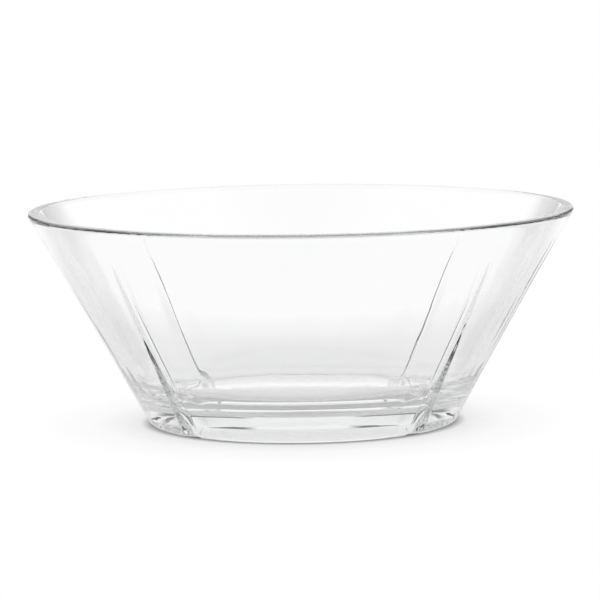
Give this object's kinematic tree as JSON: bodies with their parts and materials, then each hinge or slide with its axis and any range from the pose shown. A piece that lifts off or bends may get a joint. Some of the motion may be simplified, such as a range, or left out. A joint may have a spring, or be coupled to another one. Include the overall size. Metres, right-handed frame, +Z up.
{
  "type": "glass bowl",
  "caption": "Clear pressed-glass bowl: straight flaring wall that curves into the floor, flat rim with rounded edges, a foot ring round a hollow base, and shallow grooves down the outside.",
  "frame": {"origin": "centre of the base where the bowl meets the table", "axes": "+Z up along the bowl's axis; the grooves lie at 45 degrees to X and Y"},
  "size_m": [0.245, 0.245, 0.0965],
  "materials": {
    "clear_glass": "clear colourless soda-lime glass, pressed and fire-polished"
  },
  "bodies": {
    "root": {"bowl": "clear_glass"}
  },
  "joints": []
}
